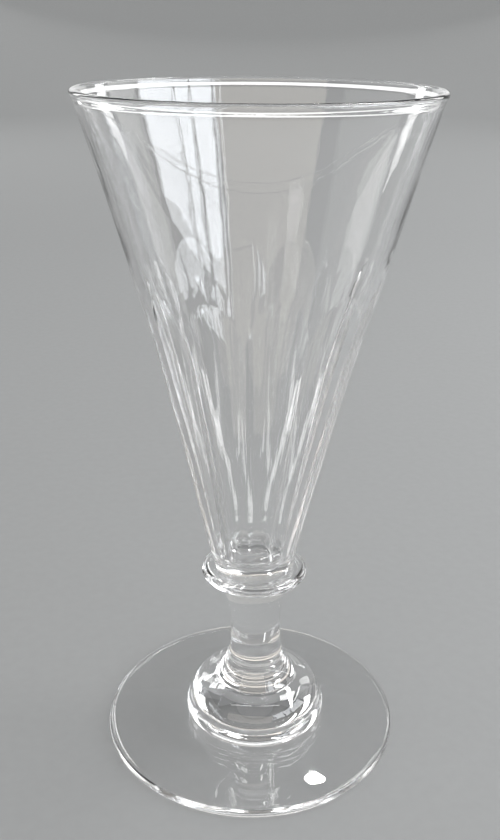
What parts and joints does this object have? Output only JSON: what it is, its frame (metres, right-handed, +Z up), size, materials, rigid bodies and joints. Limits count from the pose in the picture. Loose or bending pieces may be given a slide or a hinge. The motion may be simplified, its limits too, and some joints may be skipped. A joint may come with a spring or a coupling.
{
  "type": "ale glass",
  "caption": "Conical clear drinking glass with cut flutes on the lower bowl, a collar, a short waisted stem, a round knop on a low step and a round foot.",
  "frame": {"origin": "centre of the flat ring on the foot's underside, on the plane that the glass stands on", "axes": "+Z up the axis of the glass, from the foot to the rim; one flute of the bowl faces -Y"},
  "size_m": [0.0718, 0.0718, 0.15],
  "materials": {
    "clear_glass": "clear colourless glass, fire-polished, with polished cut faces"
  },
  "bodies": {
    "root": {"foot": "clear_glass", "terrace": "clear_glass", "knop": "clear_glass", "stem": "clear_glass", "collar": "clear_glass", "bowl": "clear_glass"}
  },
  "joints": []
}
